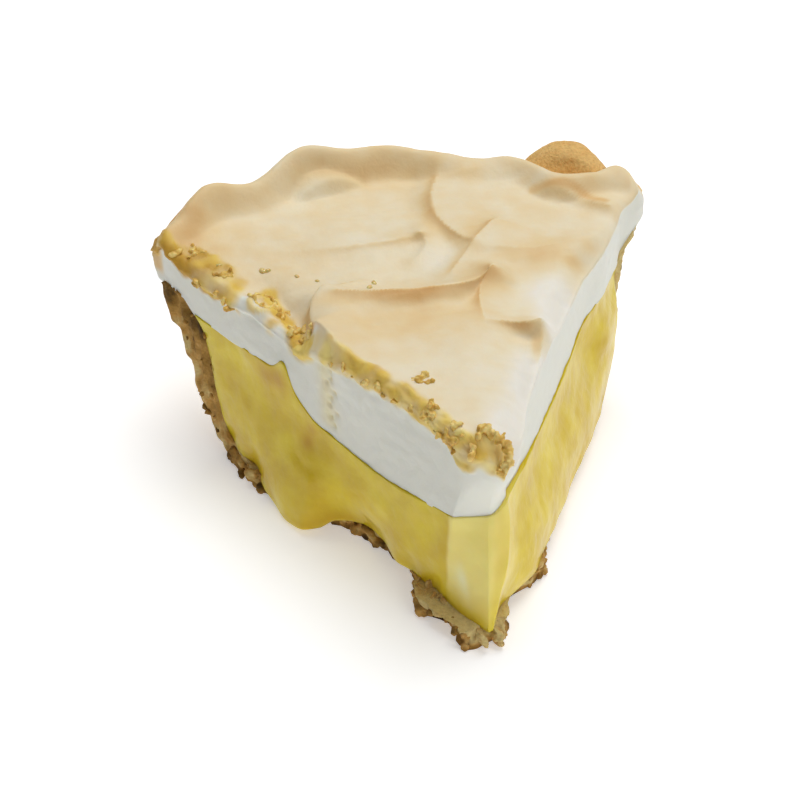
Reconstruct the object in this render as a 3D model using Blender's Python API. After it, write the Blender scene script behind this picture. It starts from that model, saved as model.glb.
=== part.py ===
"""One slice of lemon meringue pie, about a sixth of a 23 cm pie: a pastry crust with a crimped rim,
a thick set lemon filling, and a soft meringue top with spatula folds.

Metres, +Z up. The slice rests on its crust, its tip towards -Y, and the origin is on the table under
the middle of its bounding box. Every layer is a block cut into cells, and a function of that block's
three shares sets it out: across (0 left cut, 1 right cut), along (0 tip, 1 rim) and up (0 under, 1 top).
"""

import math

import bmesh
import bpy
from mathutils import Matrix, Vector, noise

MM = 0.001

# The pie that the slice was cut from
HALF_ANGLE = math.radians(31)
PIE_CENTRE = Vector((-0.6 * MM, -64.0 * MM, 0))
FLUTES_ROUND_PIE = 24
FLUTE_PHASE = math.radians(7.5)
FLUTE_RISES = (9 * MM, 11 * MM, 4 * MM, 15.5 * MM)  # from the left cut to the right cut
FLUTE_REACH = 6.5 * MM
RIM_CROWN = 1.2 * MM
WALL_DENT = 1.5 * MM  # how far the outside of the wall was pressed in at the right cut
WALL_THINNED = 2.0 * MM  # and its inside, at the same place
RIM_FLARE = 4.0 * MM  # how far the rim leans out at the right cut
RIM_WORN = 1.5 * MM  # how much shorter it is at the left cut
CRUST_TIP = 3.5 * MM  # radius of the tip's rounded corner
LAYER_GAP = 0.4 * MM

# Crust section from tip to rim, as (radius, height): the side that touched the dish, and the side inside
CRUST_OUTSIDE = ((4, 0), (22, 0), (42, 0), (62, 0), (80, 0), (92, 0), (96.5, 2.5), (100.5, 9),
                 (104.5, 17), (108, 25.5), (111.5, 33.5), (114.5, 38), (117, 41.5))
CRUST_INSIDE = ((5.5, 5), (22, 5), (42, 5), (60, 5), (76, 5), (87, 5.5), (92.5, 8), (94.5, 14),
                (96, 21), (97.5, 28), (100, 35), (104, 39), (108.5, 41.5))
WALL_FROM = 5  # the row of the section where the inner wall begins
FLUTED_FROM = 10  # the row where the crimping begins

# Filling
BROKEN_CORNER = (7.9 * MM, 13.1 * MM)  # how far left and back the broken tip has its corner
FILLING_FRONT = (1.5 * MM, 10.9 * MM)  # how far the broken tip is from the centre, at the bottom and the top
FILLING_TIP_SHIFT = (2.4 * MM, 0.8 * MM)  # how far the tip leans to the left, at the bottom and at the top
FILLING_TOP_AT_TIP = 31 * MM
FILLING_TOP_AT_RIM = (38.5 * MM, 36.5 * MM)  # at the left cut and at the right cut
FILLING_CLIMB = ((59 * MM, 75 * MM), (55 * MM, 93 * MM))  # where it climbs, at each cut
FILLING_SLUMP = 6 * MM

# Meringue
MERINGUE_FRONT = 11.4 * MM
MERINGUE_TIP = 8.5 * MM  # radius of the rounded tip on top
MERINGUE_TOP = 52 * MM
MERINGUE_EDGE_RADIUS = 119 * MM
RIM_RISE = 2.0 * MM
EDGE_ROUNDING = 4.0 * MM
NEIGHBOUR = math.radians(1.5)  # how far aside the meringue's underside clears the steep flutes

# How finely each block is cut: cells across, along and up
CELLS_ACROSS = 26
MERINGUE_CELLS = (CELLS_ACROSS, 40, 4)
FILLING_CELLS = (CELLS_ACROSS, 18, 6)
CRUST_CELLS = (CELLS_ACROSS, len(CRUST_OUTSIDE) - 1, 2)

# Spatula folds in the meringue, in mm from the pie's centre: start, bend and end of the crest, its
# height at both ends, and how wide it is to the right and to the left of its direction.
FOLDS = {
    "crescent": ((-22, 67), (-1, 58), (15.5, 67.5), 2.2, 5.2, 7.5, 11),
    "scoop_side": ((15.5, 67.5), (10, 57), (10, 50), 4.0, 1.5, 8.0, 9),
    "terrace_back": ((12, 110), (4, 92), (15, 82), 2.0, 3.0, 7.0, 34),
    "terrace_front": ((21, 86), (14, 79), (7, 71), 3.0, 1.8, 7.0, 18),
    "middle_shelf": ((-36, 92), (-14, 86), (2.5, 88.5), 0.6, 2.2, 6.0, 14),
    "shelf_end": ((2.5, 88.5), (6, 84), (0, 80), 2.2, 0.8, 4.5, 6),
    "lobe_end": ((-17, 72), (-31, 70), (-28, 54), 2.0, 3.6, 4.0, 12),
    "lobe_side": ((-28, 54), (-25, 43), (-13, 22), 3.6, 1.2, 4.0, 12),
    "back_fold": ((32, 100.8), (42, 98.0), (50.5, 90), 0.4, 1.7, 3.5, 8),
    "right_ripple": ((20, 78), (32, 75), (43, 80), 1.2, 0.8, 8.0, 10),
    "hook_top": ((10, 50), (17, 49.5), (24, 45.5), 0.8, 4.6, 4.0, 7),
    "hook_side": ((24, 45.5), (22.5, 39), (18, 30), 4.6, 0.8, 4.5, 5),
}
GROOVE = ((-42, 84), (-34, 78), (-31, 58), 3.6, 4.0)  # crest line, depth and half width, in mm
FRONT_LOBE = ((-11, 42), (26, 42), 4.0)  # centre, half axes and rise, in mm
LOBE_BACK = (-3, 63, 0.0125)  # its back edge is a parabola: x and y of the vertex, and the curvature
# Lobes of the outer edge: direction and width in degrees, rise and reach in mm
RIM_LOBES = ((-31, 2.5, 1.8, -2.5), (-23, 5, 4.8, 5.2), (-16, 4.5, 1.5, 1.8), (-9.5, 5, 5.6, 7.0),
             (0, 6.5, 4.3, 5.3), (15.5, 3, 1.2, 1.4), (22, 7, 2.4, -11.0), (31, 3, 1.0, 1.0))


def step(value, low, high):
    """0 below low, 1 above high, and a smooth rise between them."""
    share = min(1.0, max(0.0, (value - low) / (high - low)))
    return share * share * (3 - 2 * share)


def bell(value, centre, width):
    return math.exp(-(((value - centre) / width) ** 2))


def mix(a, b, share):
    return a + (b - a) * share


def unevenness(point, size, seed):
    """Smooth noise of about -1 to 1 whose lumps are as wide as size."""
    return noise.noise(point / size + Vector((seed, 2.3 * seed, 0)))


def nearest_on_crest(point, start, bend, end, samples=24):
    """The nearest place on a curved crest, as its share along the crest, and how far off it is.

    The third number says on which side the point is: 1 right of the crest, -1 left, 0 past its ends.
    """
    start, bend, end = Vector(start), Vector(bend), Vector(end)
    nearest = (0.0, math.inf, 0.0)
    for i in range(samples + 1):
        t = i / samples
        crest = start.lerp(bend, t).lerp(bend.lerp(end, t), t)
        direction = (bend - start).lerp(end - bend, t).normalized()
        away = point - crest
        if away.length < nearest[1]:
            side = direction.y * away.x - direction.x * away.y
            nearest = (t, away.length, side / max(away.length, 1e-6))
    return nearest


def on_pie(radius, angle, height):
    """A point from its distance to the pie's axis, its angle from the slice's middle, and its height."""
    return Vector((radius * math.sin(angle), radius * math.cos(angle), height))


def nose(angle, rounding):
    """Radius of the tip's rounded corner in the direction of an angle."""
    centre = rounding / math.sin(HALF_ANGLE)
    return centre * math.cos(angle) - math.sqrt(max(rounding**2 - (centre * math.sin(angle)) ** 2, 0.0))


def broken_tip(angle, front):
    """Radius of a tip that broke off in a flat face, from a corner on the left cut to its front."""
    corner_x, corner_y = BROKEN_CORNER
    if angle < 0:
        return corner_x * front / (corner_x * math.cos(angle) + (corner_y - front) * math.sin(angle))
    return front * (1 + 0.5 * (angle / HALF_ANGLE) ** 2)


def rim_whole(angle):
    """0 at the left cut, where the rim was flattened, and 1 away from it."""
    return step(math.degrees(angle), -31, -25)


def flute_wave(angle):
    """0 between two flutes of the rim and 1 on a flute."""
    wave = (0.5 + 0.5 * math.cos(FLUTES_ROUND_PIE * (angle - FLUTE_PHASE))) ** 0.32
    return wave * rim_whole(angle)


def flute_rise(angle):
    """How far the crimped rim stands above its valleys; each flute has its own height."""
    pitch = math.tau / FLUTES_ROUND_PIE
    place = (angle - FLUTE_PHASE) / pitch + 2
    index = min(len(FLUTE_RISES) - 1, max(0, round(place)))
    return FLUTE_RISES[index] * flute_wave(angle)


def move_cut_faces(point, across, left, right):
    """Moves point with the cut faces, which stand out of the true cuts by left and right.

    The move fades to nothing inside the slice, and a face moves in by a quarter of the width at most.
    """
    deepest = -0.5 * math.hypot(point.x, point.y) * math.sin(HALF_ANGLE)
    out_of_left = Vector((-math.cos(HALF_ANGLE), -math.sin(HALF_ANGLE), 0))
    out_of_right = Vector((math.cos(HALF_ANGLE), -math.sin(HALF_ANGLE), 0))
    moved_left = out_of_left * max(left, deepest) * (1 - across) ** 3
    return point + moved_left + out_of_right * max(right, deepest) * across**3


# ---------------------------------------------------------------- crust


def crust_left_edge(radius):
    """The pastry broke rather than cut: a piece juts out near the tip, and some is missing behind it."""
    r = radius / MM
    jut = 5.4 * step(r, -2, 6) * (1 - step(r, 20, 29))
    missing = 4.0 * step(r, 27, 36) * (1 - step(r, 52, 64))
    return (jut - missing + 2.2 * bell(r, 77, 12)) * MM


def crust_right_edge(radius, height):
    """The right cut is whole but for a crumb that juts out and the wall, which broke off short."""
    r, z = radius / MM, height / MM
    edge = 0.3 - 1.8 * step(r, 34, 50) - 2.4 * (1 - step(r, 17, 25)) + 2.8 * bell(r, 27, 4)
    return (edge - 2.2 * step(r, 93, 96) * (1 - step(z, 35, 41))) * MM


def crust_section(row, up, angle):
    """Radius and height of the crust at a row of its section, up from its outside to its inside."""
    last = len(CRUST_OUTSIDE) - 1
    outside, inside = Vector(CRUST_OUTSIDE[row]) * MM, Vector(CRUST_INSIDE[row]) * MM
    radius, height = outside.lerp(inside, up)
    fluted = step(row, FLUTED_FROM, last)
    flare = RIM_FLARE * step(math.degrees(angle), 26, 31)
    radius += (max(FLUTE_REACH * flute_wave(angle), flare) - RIM_WORN * (1 - rim_whole(angle))) * fluted
    squeeze = step(angle, 0, HALF_ANGLE) * bell(height, 26 * MM, 15 * MM)
    radius += mix(-WALL_DENT, WALL_THINNED, up) * squeeze
    height += flute_rise(angle) * fluted
    if row == last:
        height += RIM_CROWN * (1 - (2 * up - 1) ** 2)
    return Vector((radius, height))


def crust_place(across, along, up):
    angle = mix(-HALF_ANGLE, HALF_ANGLE, across)
    radius, height = crust_section(round(along * (len(CRUST_OUTSIDE) - 1)), up, angle)
    radius = max(radius, nose(angle, CRUST_TIP) + 1.5 * MM * up)
    point = on_pie(radius, angle, height)
    ragged = 0.6 * MM * unevenness(point, 5 * MM, 3.1)
    below_rim = 1 - step(radius, 93 * MM, 104 * MM)
    left, right = crust_left_edge(radius) + ragged, crust_right_edge(radius, height) + ragged
    right *= step(radius - nose(angle, CRUST_TIP), 0, 9 * MM)
    return move_cut_faces(point, across, left * below_rim, right * below_rim)


def inner_wall_radius(height, angle):
    """Radius of the crust's inner wall at this height, where the filling meets it."""
    wall = [crust_section(row, 1, angle) for row in range(WALL_FROM, len(CRUST_OUTSIDE) - 1)]
    for low, high in zip(wall, wall[1:]):
        if height <= high.y:
            return mix(low.x, high.x, max(0.0, (height - low.y) / (high.y - low.y)))
    return wall[-1].x


def crust_under(radius, angle, margin=2.8 * MM):
    """Height of the crust's inner wall and rim within a margin of this radius, 0 inside the wall."""
    last = len(CRUST_OUTSIDE) - 1
    line = [crust_section(row, 1, angle) for row in range(FLUTED_FROM, last + 1)]
    line += [crust_section(last, 0.5, angle), crust_section(last, 0, angle)]
    if radius + margin < line[0].x:
        return 0.0
    heights = [corner.y for corner in line if abs(corner.x - radius) <= margin]
    for probe in (radius - margin, radius + margin):
        for inner, outer in zip(line, line[1:]):
            if inner.x <= probe <= outer.x:
                heights.append(mix(inner.y, outer.y, (probe - inner.x) / (outer.x - inner.x)))
    return max(heights) if heights else line[-1].y


# ---------------------------------------------------------------- filling


def filling_top(radius, angle):
    """The set filling dips where the knife pressed the slice, and climbs towards the crust."""
    across = (angle + HALF_ANGLE) / (2 * HALF_ANGLE)
    at_rim = mix(*FILLING_TOP_AT_RIM, across)
    climb = [mix(left, right, step(across, 0, 0.5)) for left, right in zip(*FILLING_CLIMB)]
    dip = 3 * MM * bell(radius, 38 * MM, 18 * MM) * (1 - step(across, 0, 0.6))
    return mix(FILLING_TOP_AT_TIP, at_rim, step(radius, *climb)) - dip


def filling_left_bulge(radius, height):
    r, z = radius / MM, height / MM
    slump = FILLING_SLUMP * step(r, 51, 60) * (1 - step(r, 63, 90)) * (1 - step(z, 6, 26))
    hollow = 3.5 * MM * bell(r, 45, 9) * (1 - step(z, 4, 20))
    return slump - hollow + 0.8 * MM * bell(z, 16, 10)


def filling_right_bulge(radius, height):
    """The right cut leans in towards the meringue, which the knife dragged back, except at the rim."""
    r, z = radius / MM, height / MM
    leaning = mix(1.5, -3.5, step(z, 4, 32) * step(r, 4, 18))
    tapered = 2.6 * (1 - step(r, 8, 24)) * (1 - step(z, 6, 30))
    at_rim = step(r, 78, 92)
    at_wall = mix(0.8, -1.4, step(z, 22, 34)) * step(r, 80, 92) * (1 - step(r, 94, 101))
    return ((leaning - tapered + 0.8 * bell(z, 14, 8)) * (1 - at_rim) + at_wall) * MM


def lean_tip_left(point, radius, up):
    point.x -= mix(*FILLING_TIP_SHIFT, up) * (1 - step(radius, 6 * MM, 24 * MM))
    return point


def filling_place(across, along, up):
    angle = mix(-HALF_ANGLE, HALF_ANGLE, across)
    floor = CRUST_INSIDE[0][1] * MM + LAYER_GAP
    edge_top = filling_top(inner_wall_radius(38 * MM, angle), angle)
    row = round(up * FILLING_CELLS[2])
    against_wall = CRUST_INSIDE[WALL_FROM + row][1] * MM if row < FILLING_CELLS[2] else edge_top
    up = max(0.0, (against_wall - floor) / (edge_top - floor))
    edge = inner_wall_radius(against_wall, angle) - LAYER_GAP
    tip = broken_tip(angle, mix(*FILLING_FRONT, up))
    radius = mix(tip, edge, along)
    height = mix(floor, filling_top(radius, angle), up)
    if up < 1e-6:
        height = max(height, floor + 0.5 * MM * step(radius, 70 * MM, 88 * MM))
    point = on_pie(radius, angle, height)
    left = filling_left_bulge(radius, height) * step(radius - tip, 0, 4 * MM)
    right = filling_right_bulge(radius, height) * mix(step(radius - tip, 0, 9 * MM), 1, up)
    return lean_tip_left(move_cut_faces(point, across, left, right), radius, up)


# ---------------------------------------------------------------- meringue


def meringue_edge(angle):
    """Radius of the meringue's outer edge: it laps over some flutes and stops short of another."""
    degrees = math.degrees(angle)
    reach = sum(r * bell(degrees, at, width) for at, width, _, r in RIM_LOBES)
    return MERINGUE_EDGE_RADIUS + reach * MM


def fold_height(x, y):
    """Height of the spatula folds, the groove and the front lobe at a point, all in mm."""
    point = Vector((x, y))
    squares = 0.0
    for start, bend, end, low, high, right, left in FOLDS.values():
        t, distance, side = nearest_on_crest(point, start, bend, end)
        width = mix(left, right, 0.5 + 0.5 * side)
        squares += (mix(low, high, t) * max(0.0, 1 - distance / width) ** 1.5) ** 2
    start, bend, end, depth, half_width = GROOVE
    t, distance, _ = nearest_on_crest(point, start, bend, end)
    groove = depth * step(t, -0.2, 0.7) * bell(distance, 0, half_width)
    centre, axes, rise = FRONT_LOBE
    away = math.hypot((x - centre[0]) / axes[0], (y - centre[1]) / axes[1])
    vertex_x, vertex_y, curvature = LOBE_BACK
    behind = y - vertex_y - curvature * (x - vertex_x) ** 2
    lobe = rise * (1 - step(away, 0.45, 1.15)) * (1 - step(behind, -1, 5))
    return math.sqrt(squares) + lobe - groove


def meringue_top(radius, angle):
    """Height of the browned top at this radius and angle."""
    point = on_pie(radius, angle, 0)
    degrees = math.degrees(angle)
    height = MERINGUE_TOP + fold_height(point.x / MM, point.y / MM) * MM
    height += 0.7 * MM * unevenness(point, 22 * MM, 5.7)
    edge = meringue_edge(angle)
    rises = sum(rise * bell(degrees, at, width) for at, width, rise, _ in RIM_LOBES)
    height += (RIM_RISE + rises * MM) * step(radius, edge - 11 * MM, edge - 4 * MM)
    height -= EDGE_ROUNDING * step(radius, edge - 5 * MM, edge) ** 2
    return height


def meringue_under(radius, angle):
    """The meringue lies on the filling and on the highest of the crust within a few degrees."""
    crust = max(crust_under(radius, angle + aside) for aside in (-NEIGHBOUR, 0, NEIGHBOUR))
    return max(filling_top(radius, angle), crust) + LAYER_GAP


def meringue_left_bulge(radius, height):
    r = radius / MM
    return (1.5 * bell(r, 52, 12) - 0.8 * bell(r, 72, 7)) * MM * step(height, 34 * MM, 54 * MM)


def meringue_right_bulge(radius, up):
    r = radius / MM
    along_cut = -3.8 + 2.5 * step(r, 76, 92) + 2.2 * step(r, 98, 106)
    return mix(mix(-5.2, -1.0, step(up, 0, 1)), along_cut, step(r, 14, 34)) * MM


def round_cuts(across, radius, from_tip):
    """How far the top is rounded down at the two cuts and at the tip."""
    from_left, from_right = across * 2 * radius * HALF_ANGLE, (1 - across) * 2 * radius * HALF_ANGLE
    soft = 1 - step(radius, 78 * MM, 100 * MM)
    down = 1.6 * (1 - step(from_left, 0, 2.5 * MM)) ** 2
    down += mix(1.3, 4.0, soft) * (1 - step(from_right, 0, mix(2.2 * MM, 9 * MM, soft))) ** 2
    return (down + 3.5 * (1 - step(from_tip, 0, 6 * MM)) ** 2) * MM


def meringue_place(across, along, up):
    angle = mix(-HALF_ANGLE, HALF_ANGLE, across)
    tip = mix(broken_tip(angle, MERINGUE_FRONT), nose(angle, MERINGUE_TIP), step(up, 0, 0.9))
    radius = mix(tip, meringue_edge(angle), along)
    under = meringue_under(radius, angle)
    top = meringue_top(radius, angle) - round_cuts(across, radius, radius - tip)
    top = max(top, under + 2.5 * MM)
    height = mix(under, top, up)
    if along > 1 - 1e-6:
        radius += 1.5 * MM * (1 - (2 * up - 1) ** 2)
    point = on_pie(radius, angle, height)
    # The underside moves with the top of the filling, and the sides part from it above.
    filling_height = filling_top(radius, angle)
    freed = step(up, 0, 0.6)
    left = mix(filling_left_bulge(radius, filling_height), meringue_left_bulge(radius, height), freed)
    right = mix(filling_right_bulge(radius, filling_height), meringue_right_bulge(radius, up), freed)
    left *= step(radius - broken_tip(angle, FILLING_FRONT[1]), 0, 4 * MM)
    point = move_cut_faces(point, across, left, right)
    point.x -= FILLING_TIP_SHIFT[1] * (1 - step(radius, 6 * MM, 24 * MM)) * (1 - freed)
    return point


# ---------------------------------------------------------------- building


def food_material(name, colour, roughness):
    material = bpy.data.materials.new(name)
    material.use_nodes = True
    shader = material.node_tree.nodes["Principled BSDF"]
    shader.inputs["Base Color"].default_value = (*colour, 1)
    shader.inputs["Roughness"].default_value = roughness
    shader.inputs["Metallic"].default_value = 0.0
    material.diffuse_color = (*colour, 1)
    return material


def cut_block(cells):
    """A unit cube whose faces are cut into cells[0] by cells[1] by cells[2]."""
    bm = bmesh.new()
    bmesh.ops.create_cube(bm, size=1, matrix=Matrix.Translation((0.5, 0.5, 0.5)))
    for axis, count in enumerate(cells):
        full_length = [e for e in bm.edges if abs(e.verts[0].co[axis] - e.verts[1].co[axis]) > 0.99]
        bmesh.ops.subdivide_edges(bm, edges=full_length, cuts=count - 1, use_grid_fill=True)
    return bm


def layer(name, cells, place, material):
    """One layer of the slice: a cut block whose every vertex place() sets out."""
    bm = cut_block(cells)
    for vertex in bm.verts:
        vertex.co = place(*vertex.co) + PIE_CENTRE
    bmesh.ops.triangulate(bm, faces=bm.faces[:])
    bmesh.ops.recalc_face_normals(bm, faces=bm.faces[:])
    mesh = bpy.data.meshes.new(name)
    bm.to_mesh(mesh)
    bm.free()
    mesh.shade_smooth()
    mesh.set_sharp_from_angle(angle=math.radians(50))
    mesh.materials.append(material)
    layer_object = bpy.data.objects.new(name, mesh)
    bpy.context.scene.collection.objects.link(layer_object)
    return layer_object


def main():
    for old in list(bpy.data.objects):
        bpy.data.objects.remove(old)
    slice_of_pie = bpy.data.objects.new("slice", None)
    bpy.context.scene.collection.objects.link(slice_of_pie)
    pastry = food_material("baked_pastry", (0.50, 0.29, 0.10), 0.75)
    lemon = food_material("lemon_gel", (0.83, 0.62, 0.08), 0.25)
    whipped = food_material("toasted_meringue", (0.86, 0.71, 0.46), 0.60)
    layers = (
        layer("crust", CRUST_CELLS, crust_place, pastry),
        layer("lemon_filling", FILLING_CELLS, filling_place, lemon),
        layer("meringue", MERINGUE_CELLS, meringue_place, whipped),
    )
    for piece in layers:
        piece.parent = slice_of_pie


main()
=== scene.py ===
# %% [markdown]
# # A slice of lemon meringue pie
# The slice is a sixth of a 23 cm pie: a pastry crust, a set lemon filling and a soft, browned meringue.
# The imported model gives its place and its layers. This file makes each layer again in fine mesh, with
# its folds, crumbs and colours, so that the light can find them.

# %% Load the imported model
import math
import random

import bmesh
import bpy
import numpy as np
from mathutils import Euler, Matrix, Vector, noise


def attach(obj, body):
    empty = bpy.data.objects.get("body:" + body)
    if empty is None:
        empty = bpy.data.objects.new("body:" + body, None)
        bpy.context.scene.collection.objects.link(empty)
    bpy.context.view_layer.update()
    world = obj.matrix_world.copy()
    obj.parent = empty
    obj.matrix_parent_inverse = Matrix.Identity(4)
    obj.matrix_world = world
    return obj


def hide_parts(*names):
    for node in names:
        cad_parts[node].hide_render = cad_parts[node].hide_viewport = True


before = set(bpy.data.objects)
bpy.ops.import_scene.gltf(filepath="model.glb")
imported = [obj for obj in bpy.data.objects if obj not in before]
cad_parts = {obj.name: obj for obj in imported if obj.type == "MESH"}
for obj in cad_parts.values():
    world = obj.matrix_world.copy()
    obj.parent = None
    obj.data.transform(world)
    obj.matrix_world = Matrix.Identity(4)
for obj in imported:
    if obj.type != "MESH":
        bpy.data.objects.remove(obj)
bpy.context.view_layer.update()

# %% [markdown]
# ## The pie's own measures
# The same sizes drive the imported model, so every fine piece lands on its layer. They are in
# millimetres, with the pie's axis at the tip of the slice and +Y towards the rim.

# %% Measures of the pie
MM = 0.001
HALF_ANGLE = math.radians(31)
PIE_CENTRE = np.array((-0.6, -64.0, 0.0))
FLUTES_ROUND_PIE = 24
FLUTE_PHASE = math.radians(7.5)
FLUTE_RISES = np.array((9.0, 11.0, 4.0, 15.5))
FLUTE_REACH = 6.5
RIM_CROWN = 1.2
WALL_DENT = 1.5
WALL_THINNED = 2.0
RIM_FLARE = 4.0
RIM_WORN = 1.5
CRUST_OUTSIDE = ((4, 0), (22, 0), (42, 0), (62, 0), (80, 0), (92, 0), (96.5, 2.5), (100.5, 9),
                 (104.5, 17), (108, 25.5), (111.5, 33.5), (114.5, 38), (117, 41.5))
CRUST_INSIDE = ((5.5, 5), (22, 5), (42, 5), (60, 5), (76, 5), (87, 5.5), (92.5, 8), (94.5, 14),
                (96, 21), (97.5, 28), (100, 35), (104, 39), (108.5, 41.5))
FLUTED_FROM = 10
print("layers to remake:", sorted(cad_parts))

# %% [markdown]
# ## Soft shapes out of numbers
# Food has no straight edges. Three small curves describe nearly all of it: a smooth step, a round
# bump, and lumpy noise.

# %% Steps, bumps and lumps
TINY = 1e-6


def step(value, low, high):
    """0 below low, 1 above high, and a smooth rise between them."""
    share = np.clip((np.asarray(value, float) - low) / (high - low), 0, 1)
    return share * share * (3 - 2 * share)


def bell(value, centre, width):
    """1 at the centre, 0.37 at the width from it, and nearly 0 at twice the width."""
    return np.exp(-(((np.asarray(value, float) - centre) / width) ** 2))


def mix(a, b, share):
    """The value at a share of the way from a to b."""
    return a + (b - a) * share


def lumps(points, size, seed, octaves=1):
    """Noise of about -1 to 1 at points in mm, in lumps of that size."""
    shift = Vector((17.3 * seed, 7.1 * seed, 3.7 * seed))
    return np.array([noise.fractal(Vector(p) / size + shift, 1, 2, octaves) for p in points.tolist()])


print("step half way:", float(step(0.5, 0, 1)))

# %% [markdown]
# ## Blocks that become layers
# Each layer is a block with six sides: under, top, two cuts, tip and rim. A cube whose edges are
# subdivided is that block, and a function sets out its corners. Boxes with cut edges are closed, so
# the layers are closed too.

# %% Cut a block and set it out


def cut_block(cells):
    """A unit cube cut into cells[0] by cells[1] by cells[2], as a mesh."""
    bm = bmesh.new()
    bmesh.ops.create_cube(bm, size=1, matrix=Matrix.Translation((0.5, 0.5, 0.5)))
    for axis, count in enumerate(cells):
        full_length = [e for e in bm.edges if abs(e.verts[0].co[axis] - e.verts[1].co[axis]) > 0.99]
        bmesh.ops.subdivide_edges(bm, edges=full_length, cuts=count - 1, use_grid_fill=True)
    bmesh.ops.recalc_face_normals(bm, faces=bm.faces[:])
    mesh = bpy.data.meshes.new("block")
    bm.to_mesh(mesh)
    bm.free()
    return mesh


def read(mesh, what="co"):
    """The mesh's corner points, or its normals, as rows of three numbers."""
    values = np.empty(len(mesh.vertices) * 3)
    if what == "co":
        mesh.vertices.foreach_get("co", values)
    else:
        mesh.vertex_normals.foreach_get("vector", values)
    return values.reshape(-1, 3)


def write(mesh, points):
    """Moves the mesh's corner points to these places."""
    mesh.vertices.foreach_set("co", points.astype(np.float32).ravel())
    mesh.update()


def paint(mesh, name, values):
    """Keeps a number for each corner point, which a material can read by name."""
    mesh.attributes.new(name, "FLOAT", "POINT").data.foreach_set("value", values.astype(np.float32))


def on_pie(radius, angle, height):
    """Points by their distance from the pie's axis, their angle from +Y, and their height."""
    return np.stack(np.broadcast_arrays(radius * np.sin(angle), radius * np.cos(angle), height), axis=1)


def nose(angle, rounding):
    """Radius of the tip's rounded corner in the direction of an angle."""
    centre = rounding / math.sin(HALF_ANGLE)
    return centre * np.cos(angle) - np.sqrt(np.maximum(rounding**2 - (centre * np.sin(angle)) ** 2, 0))


BROKEN_CORNER = (7.9, 13.1)


def broken_tip(angle, front):
    """Radius of a tip that broke off in a flat face, from a corner on the left cut to its front."""
    corner_x, corner_y = BROKEN_CORNER
    flat = corner_x * front / (corner_x * np.cos(angle) + (corner_y - front) * np.sin(angle))
    return np.where(angle < 0, flat, front * (1 + 0.5 * (angle / HALF_ANGLE) ** 2))


def move_cut_faces(points, across, left, right):
    """Moves points with the cut faces, which stand out of the true cuts by left and right."""
    deepest = -0.5 * np.hypot(points[:, 0], points[:, 1]) * math.sin(HALF_ANGLE)
    out_left = np.array((-math.cos(HALF_ANGLE), -math.sin(HALF_ANGLE), 0))
    out_right = np.array((math.cos(HALF_ANGLE), -math.sin(HALF_ANGLE), 0))
    moved = np.maximum(left, deepest) * (1 - across) ** 3
    points = points + moved[:, None] * out_left
    return points + (np.maximum(right, deepest) * across**3)[:, None] * out_right


print("a nose rounded by 8 mm starts", round(float(nose(0, 8)), 1), "mm from the axis")

# %% [markdown]
# ## The camera, the floor and the light
# A slice is sold by its cut faces and its top, so it is seen from above its tip with a long lens. The
# light is one big soft source high up behind and to the right, with a weaker one in front on the right
# and a pale room all round. The left cut is then in shade, and the folds of the top catch the light.

# %% Camera
AZIMUTH, ELEVATION = math.radians(-12.8), math.radians(39)
DISTANCE = 600
AIM, ASIDE, RAISED = np.array((0, 60, 25)), -9.2, 0.2
LENS, SENSOR = 114, 36
forward = np.array((-math.sin(AZIMUTH) * math.cos(ELEVATION), math.cos(AZIMUTH) * math.cos(ELEVATION),
                    -math.sin(ELEVATION)))
sideways = np.array((math.cos(AZIMUTH), math.sin(AZIMUTH), 0))
upwards = np.cross(sideways, forward)
eye = AIM - forward * DISTANCE + ASIDE * sideways + RAISED * upwards + PIE_CENTRE
camera = bpy.data.objects.new("camera", bpy.data.cameras.new("camera"))
camera.data.lens, camera.data.sensor_width = LENS, SENSOR
camera.location = eye * MM
camera.rotation_euler = Vector(forward).to_track_quat("-Z", "Y").to_euler()
camera.data.clip_start, camera.data.clip_end = 0.01, 10
bpy.context.scene.collection.objects.link(camera)
bpy.context.scene.camera = camera
bpy.context.scene.view_settings.view_transform = "Standard"
print("camera at", [round(v) for v in eye], "mm")

# %% Colours and nodes


def colour(hex_code):
    """An sRGB hex colour as the linear numbers that Blender calculates with."""
    parts = [int(hex_code[i : i + 2], 16) / 255 for i in (1, 3, 5)]
    return [c / 12.92 if c <= 0.04045 else ((c + 0.055) / 1.055) ** 2.4 for c in parts] + [1.0]


def add(tree, kind, inputs=None, stops=None, **settings):
    """Adds a node with its settings; inputs are numbers, colours or the outputs of other nodes."""
    new = tree.nodes.new(kind)
    for name, value in settings.items():
        setattr(new, name, value)
    for at, (place, shade) in enumerate(stops or ()):
        element = new.color_ramp.elements[at] if at < 2 else new.color_ramp.elements.new(place)
        element.position, element.color = place, shade
    for name, value in (inputs or {}).items():
        if isinstance(value, bpy.types.NodeSocket):
            tree.links.new(value, new.inputs[name])
        else:
            new.inputs[name].default_value = value
    return new


def new_material(name):
    """An empty material, its node tree and its output node."""
    material = bpy.data.materials.new(name)
    material.use_nodes = True
    tree = material.node_tree
    tree.nodes.clear()
    return material, tree, add(tree, "ShaderNodeOutputMaterial")


def finish_material(tree, out, shader):
    """Shows the shader on the surface."""
    tree.links.new(shader.outputs[0], out.inputs["Surface"])


def noise_scale(size):
    """The scale of a noise texture whose lumps are about this many mm across."""
    return 1 / (size * MM)


print("mid grey is", round(colour("#808080")[0], 3), "in linear light")

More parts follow.
